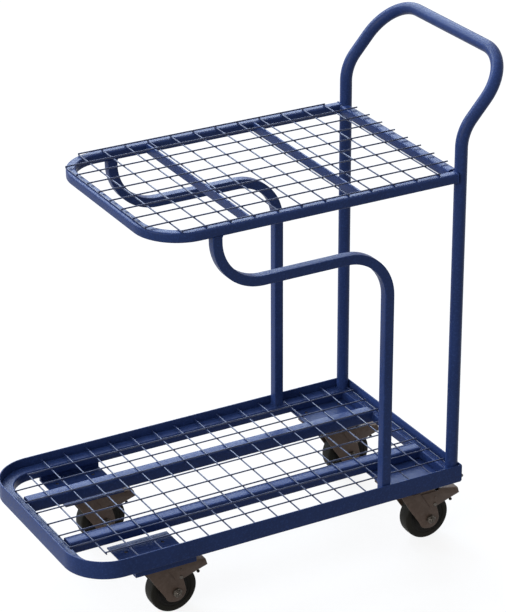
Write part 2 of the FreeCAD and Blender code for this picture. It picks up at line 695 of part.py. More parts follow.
def make_castors():
    """Four identical castors, each piece drawn once and set down at every corner."""
    fixed = {"castor_top_plates": make_top_plate(), "king_pins": make_king_pin(),
             "swivel_bearings": make_swivel_bearing(), "castor_nuts": make_castor_nuts()}
    bolts = {"front": make_castor_bolts("front", mount_plate_top),
             "rear": make_castor_bolts("rear", s.base_bottom)}
    moving = {"fork": make_fork(), "axle_bolt": make_axle_bolt(), "axle_nut": make_axle_nut(),
              "pedal_rivets": make_pedal_rivets(), "brake_pedal": make_pedal(),
              "brake_shoe": make_brake_shoe()}
    wheel = {"tyre": make_tyre(), "hub": make_hub(), "bush": make_bush()}
    mount_plate = make_mount_plate()
    rear_riser = make_rear_riser()
    front = base_front - s.castor_front_setback
    rear = base_rear + s.castor_rear_setback
    side = castor_track / 2
    copies = {name: [] for name in (*fixed, "castor_bolts")}
    risers = []
    for corner, end, x, sign in (("front_left", "front", front, 1), ("front_right", "front", front, -1),
                                 ("rear_left", "rear", rear, 1), ("rear_right", "rear", rear, -1)):
        y = side * sign
        plate = node(corner + "_mount_plate", group(corner + "_mount_plate", mount_plate))
        if end == "front":
            place(plate, x, y)
            riser_y = (side + (s.mount_plate_width - s.riser_width) / 2) * sign
            risers.append(box(corner + "_riser", s.riser_length, s.riser_width, s.base_bottom - mount_plate_top,
                              x, riser_y, mount_plate_top))
        else:
            place(plate, x, y, s.base_bottom - mount_plate_top)
            risers.append(place(group(corner + "_riser", rear_riser), x, y))
        for name, piece in (*fixed.items(), ("castor_bolts", bolts[end])):
            copies[name].append(place(group(corner + "_" + name, piece), x, y))
        for name, piece in moving.items():
            place(node(corner + "_" + name, group(corner + "_" + name, piece)), x, y)
        for name, piece in wheel.items():
            place(node(corner + "_" + name, group(corner + "_" + name, piece)), x + axle_x, y, axle_height)
    for name, pieces in copies.items():
        node(name, group(name, *pieces))
    node("castor_risers", group("castor_risers", *risers))


make_rim_band()
make_ledge_tube()
make_rear_cross_member()
make_base_bars()
make_base_mesh()
make_handle()
make_stays()
make_shelf_frame()
make_shelf_rear_rail()
make_shelf_ribs()
make_shelf_mesh()
make_castors()
doc.recompute()

faulty = [piece.Name for piece in doc.Objects if {"Invalid", "Error"} & set(piece.State)]
if faulty:
    raise RuntimeError("these objects failed: " + ", ".join(faulty))
for piece in nodes:
    if piece.Shape.isNull() or not piece.Shape.isValid() or not piece.Shape.Solids:
        raise RuntimeError(piece.Label + " has no valid shape")

os.makedirs("parts", exist_ok=True)
for piece in nodes:
    piece.Shape.exportStep("parts/%s.step" % piece.Label)
print(len(nodes), "nodes written")
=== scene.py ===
import math

import bmesh
import bpy
import numpy as np
from mathutils import Matrix, Vector


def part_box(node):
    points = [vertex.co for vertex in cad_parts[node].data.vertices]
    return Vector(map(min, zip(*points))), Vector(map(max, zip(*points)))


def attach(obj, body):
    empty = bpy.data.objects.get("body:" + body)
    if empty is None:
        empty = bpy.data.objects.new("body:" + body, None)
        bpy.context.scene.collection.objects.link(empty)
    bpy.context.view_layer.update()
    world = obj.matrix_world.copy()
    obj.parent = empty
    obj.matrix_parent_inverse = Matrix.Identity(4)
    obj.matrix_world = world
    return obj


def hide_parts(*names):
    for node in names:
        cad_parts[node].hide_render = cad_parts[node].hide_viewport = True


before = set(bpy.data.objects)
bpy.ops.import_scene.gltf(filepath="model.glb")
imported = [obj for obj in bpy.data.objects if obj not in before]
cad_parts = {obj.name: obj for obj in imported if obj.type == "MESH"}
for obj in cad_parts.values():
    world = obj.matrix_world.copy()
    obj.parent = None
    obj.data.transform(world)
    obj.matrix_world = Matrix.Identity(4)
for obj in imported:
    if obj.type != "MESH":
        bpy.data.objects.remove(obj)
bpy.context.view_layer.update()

MM = 0.001
X, Y, Z = np.eye(3)
CORNERS = ("front_left", "front_right", "rear_left", "rear_right")
SHELF_RIBS = ("shelf_front_rib", "shelf_rear_rib")
BASE_BARS = ("left_base_bar", "right_base_bar")

# Frame: sections, bends and edges, in millimetres
HANDLE_DIAMETER, HANDLE_BEND_RADIUS, HANDLE_CORNER_RADIUS = 25, 84, 91
HANDLE_LEAN = math.radians(41.3)
HANDLE_BEND_HEIGHT, HANDLE_STRAIGHT = 866.5, 45
TUBE_SIDE, TUBE_EDGE_RADIUS, STAY_EDGE_RADIUS, BAR_EDGE_RADIUS = 20, 4, 2, 4.5
STAY_RUN_HEIGHT, STAY_BEND_RADIUS = 692, 96
SHELF_CORNER_RADIUS, RIB_EDGE_RADIUS = 92, 0.8
RIM_WALL, RIM_CORNER_RADIUS, RIM_EDGE_RADIUS = 3, 88, 1.2
LEDGE_WIDTH, LEDGE_HEIGHT, LEDGE_EDGE_RADIUS = 27, 20, 3
REAR_TUBE_WIDTH, REAR_TUBE_EDGE_RADIUS, UPSTAND_CORNER_RADIUS = 19, 2.5, 4
UPSTAND_EASE = np.array([0, 0.35, 1.0])
SCREW_RADIUS, SCREW_SIDE, SCREW_HEIGHT = 3.6, 222, 157
FIT_GAP = 0.3

# Weld beads: round section, ripple along the run, taper at its ends
BEAD_RADIUS, BEAD_RIPPLE, BEAD_SWELL, BEAD_SIDES = 1.5, 3.2, 0.16, 6
BEAD_STEP, BEAD_TAPER, BEAD_TIP = 1.1, 2.5, 0.2
RIB_WELD_INSET, BAR_WELD_BOTTOM, BAR_WELD_TOP = 2, 2, 1

# Wire panels; the tips' inset and both swells are shares of the wire's or the nugget's radius
WIRE_DIAMETER, WIRE_TAIL, WIRE_SIDES = 3, 3, 12
TIP_INSET, TIP_SWELL = np.array([0, 0.15, 0.5]), np.array([0.6, 0.88, 1])
NUGGET_RADIUS, NUGGET_RISE, NUGGET_SIDES = 1.9, 1.2, 6
NUGGET_SWELL = np.array([0.5, 1, 0.5])
BASE_CROSS_WIRES, BASE_LONG_WIRES = 17, 8
SHELF_CROSS_WIRES, SHELF_LONG_WIRES = 13, 10
BASE_MESH_FRONT, BASE_MESH_REAR, BASE_MESH_SIDE, BASE_WIRE_GAP = 21.8, 13.8, 53.7, 0.3
SHELF_MESH_FRONT, SHELF_MESH_REAR, SHELF_MESH_SIDE = 7.7, 50.5, 9.3

# Castors: wheel, folded sheets, fasteners
WHEEL_RADIUS, WHEEL_WIDTH, CASTOR_TRAIL = 50, 30, 39.5
TYRE_SHOULDER, TREAD_RISE, TREAD_HALF = 4, 0.5, 6
FORK_SHEET, FORK_BEND, FORK_OUTER, FORK_EDGE_RADIUS = 3, 6, 26.8, 0.9
CROWN_RADIUS, CROWN_FLAT, CROWN_BORE = 33, 24, 6.6
CUP_BORE, CUP_STEPS = 6.3, 72
PEDAL_SHEET, PEDAL_BEND, PEDAL_OUTER, PEDAL_EDGE_RADIUS = 2, 3, 29.1, 0.6
PEDAL_SLOPE = math.radians(11)
PEDAL_START_BACK, PEDAL_START_HEIGHT, PEDAL_LIP_EASE = 19.5, 115.8, 0.4
SHEET_EDGE_STEPS, FOLD_FLAT = 4, 0.35
PIVOT_BACK, PIVOT_HEIGHT, RIVET_SHANK, RIVET_RADIUS, RIVET_DEPTH = 8.5, 82.5, 3, 3.8, 2.5
HOOK_RADIUS, HOOK_BEND, HOOK_INSET, BULB_RADIUS = 1.6, 3, 4, 3.4
AXLE_RADIUS, AXLE_ACROSS, AXLE_HEAD, AXLE_NUT, AXLE_TAIL = 5, 17, 6.5, 8, 1.5
BOLT_RADIUS, BOLT_CHAMFER, BOLT_SINK, NUT_ACROSS, NUT_CHAMFER = 4, 0.8, 1, 13, 1.1
BOLT_SPREAD_X, BOLT_SPREAD_Y = 40, 30
THREAD_PITCH, THREAD_DEPTH = 1.25, 0.35
SHOE_EDGE_RADIUS, PLATE_EDGE_RADIUS, TOP_PLATE_EDGE_RADIUS, SPACER_EDGE_RADIUS = 0.8, 0.5, 0.6, 0.8

# How finely the surfaces are drawn
ARC_STEPS, ROUND_STEPS, FASTENER_STEPS = 21, 40, 16
SMOOTH_ANGLE, BEVEL_ANGLE, FLAT_ANGLE = math.radians(38), math.radians(35), math.radians(1)
MERGE_DISTANCE = 0.002


def span(node_name):
    """Lowest and highest corner of a CAD node, in millimetres."""
    return [np.array(corner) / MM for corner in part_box(node_name)]


rim_low, rim_high = span("rim_band")
shelf_low, shelf_high = span("shelf_frame_tube")
bar_low, bar_high = span(BASE_BARS[0])
stay_low, stay_high = span("left_stay_tube")
base_front, base_side, base_bottom, base_top = rim_high[0], rim_high[1], rim_low[2], rim_high[2]
base_rear = span("rear_cross_member")[0][0]
rim_middle, rim_height = (base_bottom + base_top) / 2, base_top - base_bottom
rear_inner = base_rear + RIM_WALL
ledge_y = base_side - RIM_WALL - LEDGE_WIDTH / 2
ledge_inner = base_side - RIM_WALL - LEDGE_WIDTH
ledge_top = base_bottom + LEDGE_HEIGHT
upright_x = rear_inner + FIT_GAP + HANDLE_DIAMETER / 2
shelf_front, shelf_side, shelf_top, shelf_bottom = shelf_high[0], shelf_high[1], shelf_high[2], shelf_low[2]
shelf_tube_y, shelf_tube_z = shelf_side - TUBE_SIDE / 2, shelf_top - TUBE_SIDE / 2
stay_rear = stay_low[0] + TUBE_SIDE / 2
stay_front = stay_high[0] - TUBE_SIDE / 2


# Surfaces
def unit(vector):
    """Vectors brought to length 1."""
    return vector / np.linalg.norm(vector, axis=-1, keepdims=True)


def rounded_route(corners, radii, side):
    """Straight runs through the corners, joined by tangent arcs.

    On an arc the place is centre + radius * (ahead * sin a - inward * cos a), and the side direction turns
    with the route about the arc's axis. Gives places, ahead and side directions as arrays.
    """
    points = np.array(corners, float)
    side = np.array(side, float)
    ahead = unit(points[1] - points[0])
    places, aheads, sides = [points[:1]], [ahead[None]], [side[None]]
    for corner, after, radius in zip(points[1:-1], points[2:], radii):
        leave = unit(after - corner)
        turn = math.acos(np.clip(ahead @ leave, -1, 1))
        axis = unit(np.cross(ahead, leave))
        inward = np.cross(axis, ahead)
        centre = corner - ahead * radius * math.tan(turn / 2) + inward * radius
        angle = np.linspace(0, turn, ARC_STEPS)[:, None]
        places.append(centre + radius * (ahead * np.sin(angle) - inward * np.cos(angle)))
        aheads.append(ahead * np.cos(angle) + inward * np.sin(angle))
        along_axis = axis * (axis @ side)
        sides.append(along_axis + (side - along_axis) * np.cos(angle) + np.cross(axis, side) * np.sin(angle))
        ahead, side = leave, sides[-1][-1]
    places.append(points[-1:])
    aheads.append(ahead[None])
    sides.append(side[None])
    return np.vstack(places), np.vstack(aheads), np.vstack(sides)


def carried(profile, route, swell=1.0):
    """A closed profile, or a row of them, carried along a route.

    Each point is place + swell * (across * side + up * (ahead x side)).
    """
    places, ahead, side = route
    up = np.cross(ahead, side)
    offset = profile[..., :1] * side[:, None] + profile[..., 1:] * up[:, None]
    return places[:, None] + np.reshape(swell, (-1, 1, 1)) * offset


def circle(radius, steps=ROUND_STEPS):
    """A circle: radius * (cos a, sin a)."""
    angle = np.arange(steps) * 2 * math.pi / steps
    return radius * np.stack([np.cos(angle), np.sin(angle)], axis=1)


def rounded_rectangle(width, height, radius, steps=6):
    """A rectangle with quarter circles at its corners; a row of widths gives a row of rectangles."""
    angle = np.linspace(0, math.pi / 2, steps)
    start = np.arange(4)[:, None] * math.pi / 2
    arc = np.stack([np.cos(start + angle), np.sin(start + angle)], axis=-1) * radius
    half = np.stack(np.broadcast_arrays(width, height), axis=-1) / 2 - radius
    centre = np.array([[1, 1], [-1, 1], [-1, -1], [1, -1]]) * half[..., None, :]
    section = centre[..., None, :] + arc
    return section.reshape(*section.shape[:-3], -1, 2)


def about(axis, steps):
    """Ahead and side directions of a turn about an axis: side = first * cos a + (first x axis) * sin a."""
    axis = np.array(axis, float)
    first = Z if abs(axis[0]) > 0.5 else X
    second = np.cross(first, axis)
    angle = (np.arange(steps) * 2 * math.pi / steps)[:, None]
    return second * np.cos(angle) - first * np.sin(angle), first * np.cos(angle) + second * np.sin(angle)


def turned_ring(profile, centre, axis, steps=96):
    """A closed profile of (radius, distance along the axis) turned about an axis through the centre."""
    places = np.broadcast_to(np.array(centre, float), (steps, 3))
    return joined(carried(np.array(profile, float), (places, *about(axis, steps))))


def hexagon_limit(across, steps):
    """A hexagon's radius at each angle: half its width over flats / cos(angle from a flat's middle)."""
    angle = np.arange(steps) * 2 * math.pi / steps
    return across / 2 / np.cos((angle % (math.pi / 3)) - math.pi / 6)


def stacked(rows, centre, axis, across=None, steps=24):
    """Round sections of (radius, distance along the axis), cut down to a hexagon where that is smaller."""
    rows = np.array(rows, float)
    axis = np.array(axis, float)
    side = about(axis, steps)[1]
    limit = np.full(steps, np.inf) if across is None else hexagon_limit(across, steps)
    radius = np.minimum(rows[:, :1], limit)
    return np.array(centre, float) + rows[:, 1, None, None] * axis + radius[..., None] * side[::-1]


def capped(shell):
    """Points and faces of a shell whose rows are closed sections, its first and last row closed by a face."""
    rows, columns = shell.shape[:2]
    index = np.arange(rows * columns).reshape(rows, columns)
    onward = np.roll(index, -1, axis=1)
    quads = np.stack([index[:-1], onward[:-1], onward[1:], index[1:]], axis=-1).reshape(-1, 4)
    return shell.reshape(-1, 3), quads.tolist() + [index[0, ::-1].tolist(), index[-1].tolist()]


def joined(shell):
    """Points and faces of a shell whose last row runs on into its first, as in a ring."""
    rows, columns = shell.shape[:2]
    index = np.arange(rows * columns).reshape(rows, columns)
    onward, next_row = np.roll(index, -1, axis=1), np.roll(index, -1, axis=0)
    quads = np.stack([index, onward, np.roll(onward, -1, axis=0), next_row], axis=-1).reshape(-1, 4)
    return shell.reshape(-1, 3), quads.tolist()


def finished(name, mesh, material, body, replaced):
    """Puts a mesh into the scene as a piece that rides on a body and stands for CAD nodes."""
    mesh.materials.clear()
    mesh.materials.append(material)
    mesh.polygons.foreach_set("use_smooth", np.ones(len(mesh.polygons), bool))
    mesh.set_sharp_from_angle(angle=SMOOTH_ANGLE)
    piece = bpy.data.objects.new(name, mesh)
    bpy.context.collection.objects.link(piece)
    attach(piece, body)
    if replaced:
        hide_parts(*replaced)
    return piece


def make_piece(name, shells, finish, body, replaced=()):
    """One mesh object from the points and faces of its shells."""
    points, faces, count = [], [], 0
    for shell_points, shell_faces in shells:
        points.append(shell_points)
        faces += [[corner + count for corner in face] for face in shell_faces]
        count += len(shell_points)
    mesh = bpy.data.meshes.new(name)
    mesh.from_pydata((np.vstack(points) * MM).tolist(), [], faces)
    return finished(name, mesh, FINISHES[finish], body, replaced)


def rounded_copy(name, node_name, edge_radius, finish, body):
    """The CAD node's own mesh, its triangles merged and its sharp edges rounded."""
    mesh = bpy.data.meshes.new(name)
    work = bmesh.new()
    work.from_mesh(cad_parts[node_name].data)
    work.transform(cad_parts[node_name].matrix_world)
    bmesh.ops.remove_doubles(work, verts=work.verts, dist=MERGE_DISTANCE * MM)
    bmesh.ops.dissolve_limit(work, angle_limit=FLAT_ANGLE, verts=work.verts, edges=work.edges)
    work.to_mesh(mesh)
    work.free()
    piece = finished(name, mesh, FINISHES[finish], body, [node_name])
    bevel = piece.modifiers.new("rounded_edges", "BEVEL")
    bevel.width, bevel.segments, bevel.angle_limit = edge_radius * MM, 2, BEVEL_ANGLE
    return piece


# Finishes
def linear(hex_colour):
    """A linear colour from an sRGB hex value."""
    share = np.array([int(hex_colour[i:i + 2], 16) for i in (1, 3, 5)]) / 255
    return (*np.where(share <= 0.04045, share / 12.92, ((share + 0.055) / 1.055) ** 2.4), 1.0)


def add(material, kind, settings=None, **inputs):
    """Adds a node with its settings; an input, by name or number, is a socket to link from or a value."""
    made = material.node_tree.nodes.new("ShaderNode" + kind)
    for key, value in (settings or {}).items():
        setattr(made, key, value)
    for key, value in inputs.items():
        place = int(key[1:]) if key[1:].isdigit() else key.replace("_", " ")
        if isinstance(value, bpy.types.NodeSocket):
            material.node_tree.links.new(value, made.inputs[place])
        else:
            made.inputs[place].default_value = value
    return made


def start_material(name):
    """An empty node material and its Object coordinates."""
    material = bpy.data.materials.new(name)
    material.use_nodes = True
    material.node_tree.nodes.clear()
    return material, add(material, "TexCoord").outputs["Object"]


def grain(size):
    """Noise scale for features of a size in millimetres, as Object coordinates are in metres."""
    return 1 / (size * MM)


def powder_coat(name, body_colour, thin_colour, speck_colour, shine):
    """Polyester powder coat, sprayed and baked on steel: a satin skin with fine orange peel."""
    material, where = start_material(name)
    # Film thickness drifts over a hand's width and gives soft lighter and darker patches
    drift = add(material, "TexNoise", Vector=where, Scale=grain(90), Detail=2.0)
    drift_share = add(material, "MapRange", Value=drift.outputs["Fac"], From_Min=0.3, From_Max=0.7)
    film = add(material, "Mix", {"data_type": "RGBA"}, i0=drift_share.outputs[0], i6=linear(body_colour),
               i7=linear(thin_colour))
    # Pigment specks are under half a millimetre; drawn at 4 mm so that they show at this distance
    specks = add(material, "TexNoise", Vector=where, Scale=grain(4), Detail=3.0, Roughness=0.7)
    speck_share = add(material, "MapRange", Value=specks.outputs["Fac"], From_Min=0.5, From_Max=0.72)
    colour = add(material, "Mix", {"data_type": "RGBA"}, i0=speck_share.outputs[0], i6=film.outputs[2],
                 i7=linear(speck_colour))
    gloss = add(material, "MapRange", Value=specks.outputs["Fac"], From_Min=0.3, From_Max=0.7, To_Min=0.3,
                To_Max=0.48)
    # Orange peel is 1.5 mm across; drawn at 2.5 mm so that it breaks up the glare into fine grain
    peel = add(material, "TexNoise", Vector=where, Scale=grain(2.5), Detail=1.0)
    bump = add(material, "Bump", Height=peel.outputs["Fac"], Strength=0.35, Distance=0.25 * MM)
    skin = add(material, "BsdfPrincipled", Base_Color=colour.outputs[2], Roughness=gloss.outputs[0],
               Normal=bump.outputs[0], IOR=1.5, Specular_IOR_Level=shine)
    add(material, "OutputMaterial", Surface=skin.outputs[0])
    return material


def mottled(name, body_colour, patch_colour, patch_size, roughness, metallic, shine, peel_size, peel_depth):
    """A surface with patches of a second tone, gloss that varies by a fifth, and a fine relief."""
    material, where = start_material(name)
    patches = add(material, "TexNoise", Vector=where, Scale=grain(patch_size), Detail=4.0, Roughness=0.65)
    patch_share = add(material, "MapRange", Value=patches.outputs["Fac"], From_Min=0.42, From_Max=0.72)
    colour = add(material, "Mix", {"data_type": "RGBA"}, i0=patch_share.outputs[0], i6=linear(body_colour),
                 i7=linear(patch_colour))
    gloss = add(material, "MapRange", Value=patches.outputs["Fac"], From_Min=0.3, From_Max=0.7,
                To_Min=roughness * 0.8, To_Max=roughness * 1.2)
    # The real relief is under a millimetre across; drawn at 2 to 3 mm so that it shows at this distance
    relief = add(material, "TexNoise", Vector=where, Scale=grain(peel_size), Detail=2.0)
    bump = add(material, "Bump", Height=relief.outputs["Fac"], Strength=0.3, Distance=peel_depth * MM)
    skin = add(material, "BsdfPrincipled", Base_Color=colour.outputs[2], Roughness=gloss.outputs[0],
               Metallic=metallic, Normal=bump.outputs[0], Specular_IOR_Level=shine)
    add(material, "OutputMaterial", Surface=skin.outputs[0])
    return material


FINISHES = {
    # Sprayed and baked paint: satin, its glare on the tops broken into fine grain
    "frame": powder_coat("satin_blue_powder_coat_on_tube", "#233460", "#273968", "#314579", shine=0.11),
    # The same paint on drawn wire, painted darker than the frame as painted shade; brighter in the glare
    "wire": powder_coat("satin_blue_powder_coat_on_wire_with_painted_shade", "#1d2849", "#212d50", "#2a385f", shine=0.4),
    # Pressed sheet, chromate dipped: a brown-grey film with cloudy patches and a dull sheen
    "castor": mottled("chromated_pressed_castor_steel", "#59493f", "#6a5a50", patch_size=14, roughness=0.42,
                      metallic=0.1, shine=0.2, peel_size=3, peel_depth=0.1),
    # Zinc plated turned steel: grey, fairly bright, with small dull spots
    "zinc": mottled("zinc_plated_turned_steel", "#5a544d", "#47413b", patch_size=5, roughness=0.32,
                    metallic=0.6, shine=0.3, peel_size=3, peel_depth=0.05),
    # Moulded tyre rubber: near black with a warm cast, dull, slightly scuffed
    "rubber": mottled("moulded_black_tyre_rubber", "#201f1b", "#292722", patch_size=9, roughness=0.6,
                      metallic=0.0, shine=0.1, peel_size=2.5, peel_depth=0.12),
    # Moulded wheel centre: black, a little smoother than the tyre
    "hub": mottled("moulded_black_polypropylene", "#1d1c1a", "#252320", patch_size=12, roughness=0.5,
                   metallic=0.0, shine=0.1, peel_size=2, peel_depth=0.05),
}


# Frame of tubes and rim
def u_route(rear, front, half_width, height, radius):
    """A U that opens to the rear: forward on the right, across, and back on the left."""
    corners = [(rear, -half_width, height), (front, -half_width, height), (front, half_width, height),
               (rear, half_width, height)]
    return rounded_route(corners, [radius, radius], Y)


def frame_piece(name, shells, *replaced):
    """A painted piece of the welded frame."""
    return make_piece(name, shells, "frame", "frame", replaced)


def block(low, high, edge_radius, along):
    """A bar that fills a box, its section a rounded rectangle carried along one axis."""
    middle, size = (low + high) / 2, high - low
    start, end = middle.copy(), middle.copy()
    start[along], end[along] = low[along], high[along]
    across, up = (along + 1) % 3, (along + 2) % 3
    profile = rounded_rectangle(size[across], size[up], edge_radius)
    return capped(carried(profile, rounded_route([start, end], [], np.eye(3)[across])))


bend_run = HANDLE_BEND_RADIUS * math.tan(HANDLE_LEAN / 2)
knee = HANDLE_BEND_HEIGHT + bend_run
slant = bend_run + HANDLE_STRAIGHT + HANDLE_CORNER_RADIUS
grip_x = upright_x - slant * math.sin(HANDLE_LEAN)
grip_z = knee + slant * math.cos(HANDLE_LEAN)
handle_corners = [(upright_x, -ledge_y, ledge_top), (upright_x, -ledge_y, knee), (grip_x, -ledge_y, grip_z),
                  (grip_x, ledge_y, grip_z), (upright_x, ledge_y, knee), (upright_x, ledge_y, ledge_top)]
handle_radii = [HANDLE_BEND_RADIUS, HANDLE_CORNER_RADIUS, HANDLE_CORNER_RADIUS, HANDLE_BEND_RADIUS]
handle_section = circle(HANDLE_DIAMETER / 2)
handle_route = rounded_route(handle_corners, handle_radii, X)
frame_piece("push_handle", [capped(carried(handle_section, handle_route))], "handle_tube")

tube_section = rounded_rectangle(TUBE_SIDE, TUBE_SIDE, TUBE_EDGE_RADIUS)
stay_section = rounded_rectangle(TUBE_SIDE, TUBE_SIDE, STAY_EDGE_RADIUS)
for side_name, y in (("left", shelf_tube_y), ("right", -shelf_tube_y)):
    stay_corners = [(stay_rear, y, ledge_top), (stay_rear, y, STAY_RUN_HEIGHT),
                    (stay_front, y, STAY_RUN_HEIGHT), (stay_front, y, shelf_bottom)]
    stay_route = rounded_route(stay_corners, [STAY_BEND_RADIUS] * 2, Y)
    frame_piece(side_name + "_stay", [capped(carried(stay_section, stay_route))], side_name + "_stay_tube")

shelf_route = u_route(shelf_low[0], shelf_front - TUBE_SIDE / 2, shelf_tube_y, shelf_tube_z,
                      SHELF_CORNER_RADIUS - TUBE_SIDE / 2)
frame_piece("shelf_frame", [capped(carried(tube_section, shelf_route))], "shelf_frame_tube")
rail_low, rail_high = span("shelf_rear_rail")
frame_piece("shelf_back_rail", [block(rail_low, rail_high, TUBE_EDGE_RADIUS, 1)], "shelf_rear_rail")
for rib in SHELF_RIBS:
    frame_piece(rib + "_flat", [block(*span(rib), RIB_EDGE_RADIUS, 1)], rib)
for bar in BASE_BARS:
    frame_piece(bar + "_tube", [block(*span(bar), BAR_EDGE_RADIUS, 0)], bar)

rim_section = rounded_rectangle(RIM_WALL, rim_height, RIM_EDGE_RADIUS)
rim_route = u_route(rear_inner, base_front - RIM_WALL / 2, base_side - RIM_WALL / 2, rim_middle,
                    RIM_CORNER_RADIUS - RIM_WALL / 2)
frame_piece("base_rim", [capped(carried(rim_section, rim_route))], "rim_band")
ledge_section = rounded_rectangle(LEDGE_WIDTH, LEDGE_HEIGHT, LEDGE_EDGE_RADIUS)
ledge_route = u_route(rear_inner, base_front - RIM_WALL - LEDGE_WIDTH / 2, ledge_y,
                      ledge_top - LEDGE_HEIGHT / 2, RIM_CORNER_RADIUS - RIM_WALL - LEDGE_WIDTH / 2)
frame_piece("base_ledge", [capped(carried(ledge_section, ledge_route))], "ledge_tube")

# The upstand is a sheet whose outline draws in towards both faces, which eases its edges
upstand_section = rounded_rectangle(base_side * 2, rim_height, UPSTAND_CORNER_RADIUS)
upstand_rows = np.concatenate([UPSTAND_EASE, RIM_WALL - UPSTAND_EASE[::-1]])
upstand_inset = np.concatenate([UPSTAND_EASE[::-1], UPSTAND_EASE])
upstand_places = upstand_rows[:, None] * X + np.array([base_rear, 0, rim_middle])
upstand_scale = 1 - upstand_inset[:, None, None] / np.array([base_side, rim_height / 2])
upstand_route = (upstand_places, *(np.broadcast_to(axis, upstand_places.shape) for axis in (X, Y)))
upstand = carried(upstand_section * upstand_scale, upstand_route)
rear_tube = block(np.array([rear_inner, -ledge_inner, base_bottom]),
                  np.array([rear_inner + REAR_TUBE_WIDTH, ledge_inner, ledge_top]), REAR_TUBE_EDGE_RADIUS, 1)
frame_piece("rear_upstand_and_tube", [capped(upstand), rear_tube], "rear_cross_member")


# Welds
def bead(places, normal, closed):
    """A round bead along places: its radius ripples once in BEAD_RIPPLE and tapers at the ends of a run.

    The radius is BEAD_RADIUS * (1 + BEAD_SWELL * sin a), where a grows by a full turn in each ripple, and on
    an open run also times the square root of the distance from its end / BEAD_TAPER.
    """
    if closed:
        ahead = unit(np.roll(places, -1, axis=0) - np.roll(places, 1, axis=0))
    else:
        ahead = unit(np.gradient(places, axis=0))
    step = np.linalg.norm(np.diff(places, axis=0), axis=1)
    run = np.concatenate([[0], np.cumsum(step)])
    length = run[-1] + (step[0] if closed else 0)
    swell = 1 + BEAD_SWELL * np.sin(2 * math.pi * max(1, round(length / BEAD_RIPPLE)) * run / length)
    if not closed:
        swell = swell * np.clip(np.minimum(run, length - run) / BEAD_TAPER, BEAD_TIP, 1) ** 0.5
    side = np.broadcast_to(np.array(normal, float), ahead.shape)
    shell = carried(circle(1, BEAD_SIDES), (places, ahead, side), BEAD_RADIUS * swell)
    return joined(shell) if closed else capped(shell)


def bead_round(section, centre, across, up):
    """A bead round a tube: the tube's section, spaced evenly by its length, is the bead's path."""
    loop = np.vstack([section, section[:1]])
    run = np.concatenate([[0], np.cumsum(np.linalg.norm(np.diff(loop, axis=0), axis=1))])
    at = np.linspace(0, run[-1], int(run[-1] / BEAD_STEP), endpoint=False)
    flat = np.stack([np.interp(at, run, loop[:, i]) for i in (0, 1)], axis=1)
    places = np.array(centre, float) + flat[:, :1] * across + flat[:, 1:] * up
    return bead(places, np.cross(across, up), True)


def bead_line(start, end, normal):
    """A straight bead from one point to another."""
    start, end = np.array(start, float), np.array(end, float)
    share = np.linspace(0, 1, int(np.linalg.norm(end - start) / BEAD_STEP) + 2)[:, None]
    return bead(start + (end - start) * share, normal, False)


rail_middle = (rail_low + rail_high) / 2
rear_tube_section = rounded_rectangle(REAR_TUBE_WIDTH, LEDGE_HEIGHT, REAR_TUBE_EDGE_RADIUS)
rear_tube_x, rear_tube_z = rear_inner + REAR_TUBE_WIDTH / 2, base_bottom + LEDGE_HEIGHT / 2
beads = []
for sign in (1, -1):
    beads += [
        bead_round(handle_section, (upright_x, sign * ledge_y, ledge_top), X, Y),
        bead_round(stay_section, (stay_rear, sign * shelf_tube_y, ledge_top), X, Y),
        bead_round(stay_section, (stay_front, sign * shelf_tube_y, shelf_bottom), X, Y),
        bead_round(tube_section, (shelf_low[0], sign * shelf_tube_y, shelf_tube_z), Y, Z),
        bead_round(tube_section, (rail_middle[0], sign * rail_high[1], rail_middle[2]), X, Z),
        bead_round(rear_tube_section, (rear_tube_x, sign * ledge_inner, rear_tube_z), X, Z),
    ]
    for rib in SHELF_RIBS:
        rib_low, rib_high = span(rib)
        y, low, high = sign * rib_high[1], rib_low[2] + RIB_WELD_INSET, rib_high[2] - RIB_WELD_INSET
        beads += [bead_line((x, y, low), (x, y, high), X) for x in (rib_low[0], rib_high[0])]
    low, high = base_bottom + BAR_WELD_BOTTOM, ledge_top - BAR_WELD_TOP
    for x in (bar_low[0], bar_high[0]):
        beads += [bead_line((x, y, low), (x, y, high), X) for y in (sign * bar_low[1], sign * bar_high[1])]
frame_piece("frame_weld_beads", beads)


# Wire panels
def wire_shells(starts, ends):
    """Round wires between points, all at once: each end is drawn in over half a radius to a cropped tip."""
    starts, ends = np.array(starts, float), np.array(ends, float)
    length = np.linalg.norm(ends - starts, axis=1)[:, None]
    ahead = (ends - starts) / length
    side = np.cross(ahead, Z)
    up = np.cross(ahead, side)
    radius = WIRE_DIAMETER / 2
    inset = TIP_INSET * radius
    along = np.hstack([np.broadcast_to(inset, (len(starts), len(inset))), length - inset[::-1]])
    swell = np.concatenate([TIP_SWELL, TIP_SWELL[::-1]])
    ring = circle(radius, WIRE_SIDES)
    centre = starts[:, None] + along[:, :, None] * ahead[:, None]
    offset = ring[:, :1] * side[:, None, None] + ring[:, 1:] * up[:, None, None]
    return [capped(wire) for wire in centre[:, :, None] + swell[None, :, None, None] * offset]


def crossing_shells(cross_x, cross_reach, long_y, long_rear, long_front, height):
    """A small squashed nugget where two wires are welded: a hexagon between two of half its radius."""
    x, y = np.meshgrid(cross_x, long_y, indexing="ij")
    met = (np.abs(y) <= cross_reach[:, None]) & (x >= long_rear) & (x <= long_front)
    centre = np.stack([x[met], y[met], np.full(met.sum(), height)], axis=1)
    ring = np.hstack([circle(NUGGET_RADIUS, NUGGET_SIDES), np.zeros((NUGGET_SIDES, 1))])
    rise = np.array([-NUGGET_RISE, 0, NUGGET_RISE])
    nugget = ring[None] * NUGGET_SWELL[:, None, None] + rise[:, None, None] * Z
    return [capped(shell) for shell in centre[:, None, None] + nugget]


